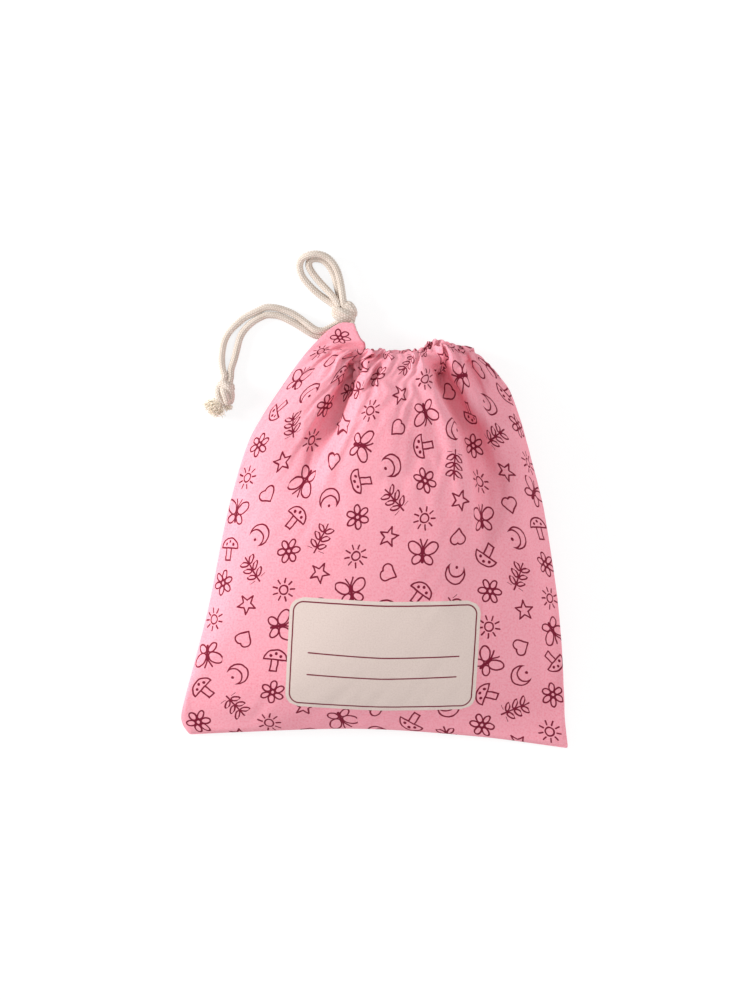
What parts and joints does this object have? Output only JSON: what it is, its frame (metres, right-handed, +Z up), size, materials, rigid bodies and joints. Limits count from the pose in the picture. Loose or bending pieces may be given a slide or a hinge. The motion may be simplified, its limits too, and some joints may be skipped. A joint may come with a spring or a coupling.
{
  "type": "drawstring bag",
  "caption": "Small cotton drawstring bag lying on its back, mouth gathered on a cord that leaves by one corner and is tied in a slipped bow.",
  "frame": {"origin": "middle of the bag's outline seen from above, on the surface that it lies on", "axes": "+X to the bag's right, +Y from the bottom seam to the mouth, +Z up out of the front panel"},
  "size_m": [0.2507, 0.3228, 0.0554],
  "materials": {
    "printed_cloth": "matt plain-weave cotton, pink with a sparse maroon line print",
    "label_twill": "matt cream cotton twill with a maroon border line and two writing lines",
    "cotton_cord": "matt undyed braided cotton",
    "frayed_cotton": "loose undyed cotton fibre"
  },
  "bodies": {
    "bag": {"back_panel": "printed_cloth", "left_side_seam": "printed_cloth", "right_side_seam": "printed_cloth", "bottom_seam": "printed_cloth", "back_hem": "printed_cloth", "cord_outlet": "printed_cloth", "cord_back_run": "cotton_cord"},
    "mouth_front": {"front_panel": "printed_cloth", "front_hem": "printed_cloth", "name_label": "label_twill", "cord_front_run": "cotton_cord"},
    "drawstring": {"slip_knot": "cotton_cord", "cord_lead_1": "cotton_cord", "cord_lead_2": "cotton_cord"},
    "loop": {"loop_outer": "cotton_cord", "loop_inner": "cotton_cord"},
    "tail": {"tail_upper": "cotton_cord", "tail_lower": "cotton_cord", "end_knot": "cotton_cord", "frayed_end_1": "frayed_cotton", "frayed_end_2": "frayed_cotton"}
  },
  "joints": [
    {"name": "mouth_lift", "type": "hinge", "parent": "bag", "child": "mouth_front", "pos_m": [0, -0.14, 0.0024], "axis": [1, 0, 0], "range_deg": [0, 8]},
    {"name": "cord_pull", "type": "slide", "parent": "bag", "child": "drawstring", "axis": [-0.2924, 0.9563, 0], "range_m": [0, 0.02]},
    {"name": "loop_swing", "type": "hinge", "parent": "drawstring", "child": "loop", "pos_m": [-0.02036, 0.14423, 0.007], "axis": [0, 0, 1], "range_deg": [-25, 5]},
    {"name": "tail_swing", "type": "hinge", "parent": "drawstring", "child": "tail", "pos_m": [-0.02036, 0.14423, 0.007], "axis": [0, 0, 1], "range_deg": [-18, 5]}
  ]
}
